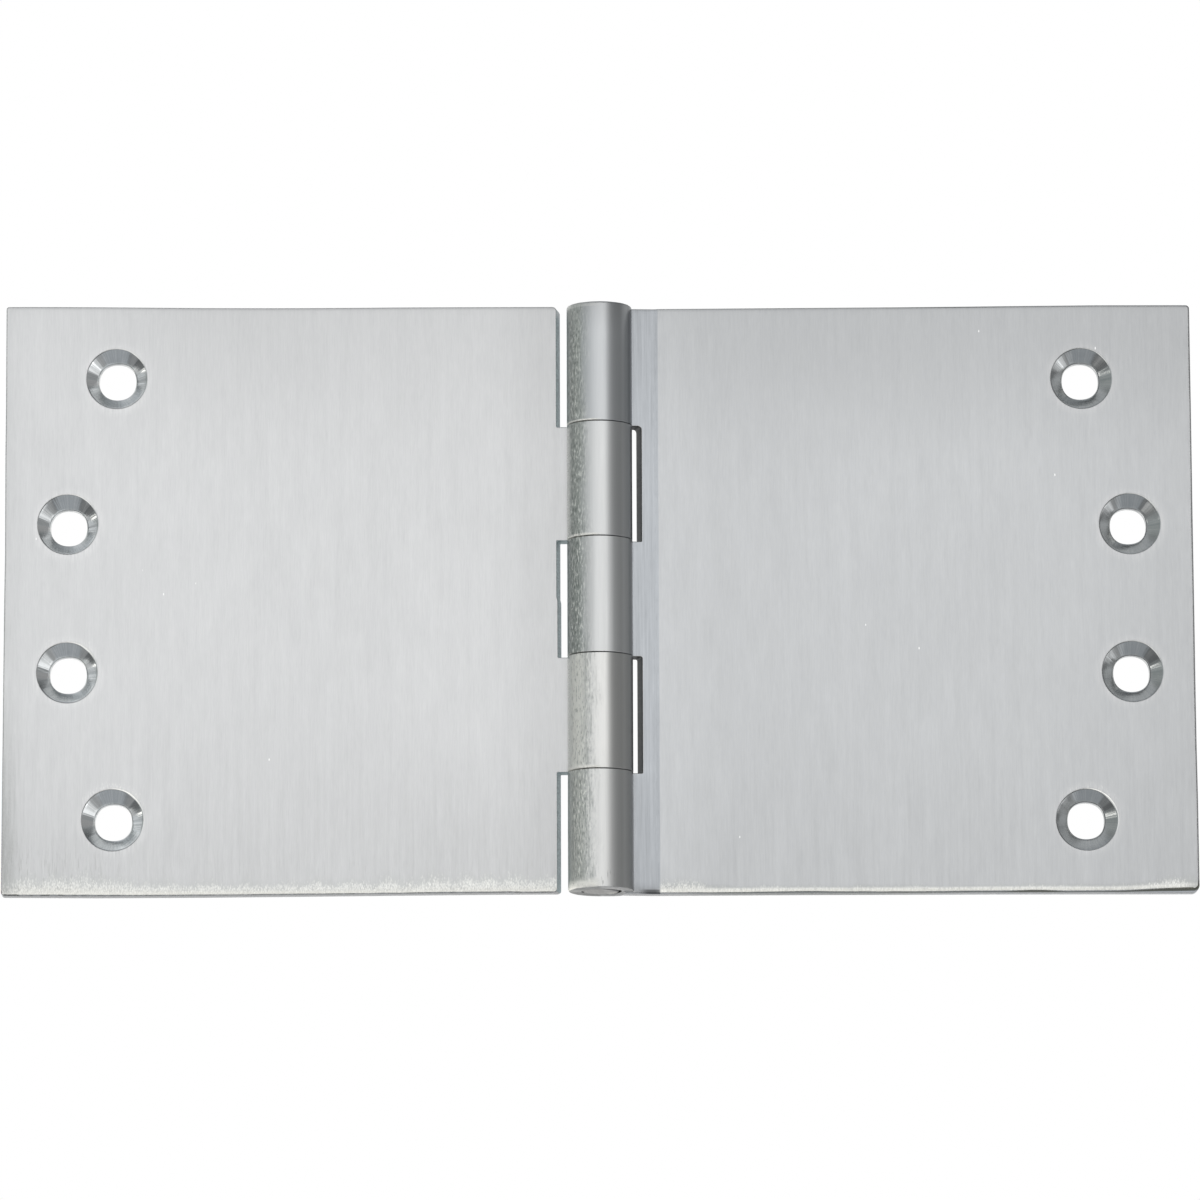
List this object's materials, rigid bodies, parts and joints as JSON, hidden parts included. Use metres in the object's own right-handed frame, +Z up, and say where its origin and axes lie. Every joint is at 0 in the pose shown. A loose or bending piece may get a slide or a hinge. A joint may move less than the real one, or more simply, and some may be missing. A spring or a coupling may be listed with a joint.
{
  "type": "door hinge",
  "caption": "Wide butt hinge for a door: flat satin chrome leaves with countersunk screw holes, interleaved knuckles and a fixed pin, lying flat open.",
  "frame": {"origin": "on the pin axis at mid height, which is the centre of the part's box as it lies flat open", "axes": "+Z up along the pin; +X towards the leaf that carries the pin; -Y is the front, the side with the countersinks"},
  "size_m": [0.2, 0.011, 0.1],
  "materials": {
    "leaf_metal": "satin chrome plate over brass, brushed along the pin",
    "pin_metal": "turned steel, ends linished flush with the barrel"
  },
  "bodies": {
    "frame_side": {"frame_leaf": "leaf_metal", "hinge_pin": "pin_metal"},
    "door_side": {"door_leaf": "leaf_metal"}
  },
  "joints": [
    {"name": "leaf_swing", "type": "hinge", "parent": "frame_side", "child": "door_side", "pos_m": [0, 0, 0], "axis": [0, 0, 1], "range_deg": [-115, 180]}
  ]
}
